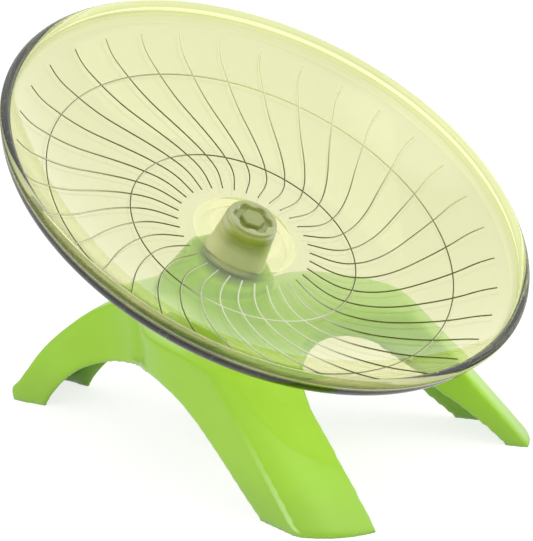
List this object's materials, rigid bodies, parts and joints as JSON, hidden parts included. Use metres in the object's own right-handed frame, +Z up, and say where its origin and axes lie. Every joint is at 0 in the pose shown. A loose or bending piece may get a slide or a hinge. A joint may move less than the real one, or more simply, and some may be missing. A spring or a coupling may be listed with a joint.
{
  "type": "flying saucer wheel",
  "caption": "Clear round running saucer with a rolled rim and central hub, spinning on a tilted axle on an arched three-legged stand.",
  "frame": {"origin": "on the ground, in the middle of the whole object's length and width", "axes": "+Z up, the low side of the tilted saucer faces -Y, +X to the right seen from that side; X is the stand's mirror axis"},
  "size_m": [0.182, 0.1908, 0.1408],
  "materials": {
    "saucer_plastic": "clear moulding with a pale yellow-olive tint",
    "cap_plastic": "clear olive moulding",
    "stand_plastic": "translucent lime moulding, satin gloss",
    "screw_steel": "zinc plated",
    "bearing_steel": "ground",
    "ball_steel": "polished",
    "cage_brass": "plain",
    "bush_plastic": "natural acetal"
  },
  "bodies": {
    "stand": {"stand": "stand_plastic", "axle_screw": "screw_steel", "screw_washer": "screw_steel", "thrust_washer": "screw_steel", "bearing_inner_ring": "bearing_steel"},
    "saucer": {"saucer": "saucer_plastic", "hub_cap": "cap_plastic", "bearing_outer_ring": "bearing_steel", "bearing_shield_upper": "bearing_steel", "bearing_shield_lower": "bearing_steel", "bearing_retainer": "bush_plastic", "hub_bush": "bush_plastic"},
    "ball_cage": {"bearing_balls": "ball_steel", "bearing_cage": "cage_brass"}
  },
  "joints": [
    {"name": "saucer_spin", "type": "hinge", "parent": "stand", "child": "saucer", "pos_m": [0, -0.01912, 0.0918], "axis": [0, -0.5402, 0.8415], "continuous": true},
    {"name": "cage_roll", "type": "hinge", "parent": "stand", "child": "ball_cage", "pos_m": [0, -0.01912, 0.0918], "axis": [0, -0.5402, 0.8415], "continuous": true}
  ],
  "couplings": [
    {"joint": "cage_roll", "follows": "saucer_spin", "ratio": 0.6176}
  ]
}
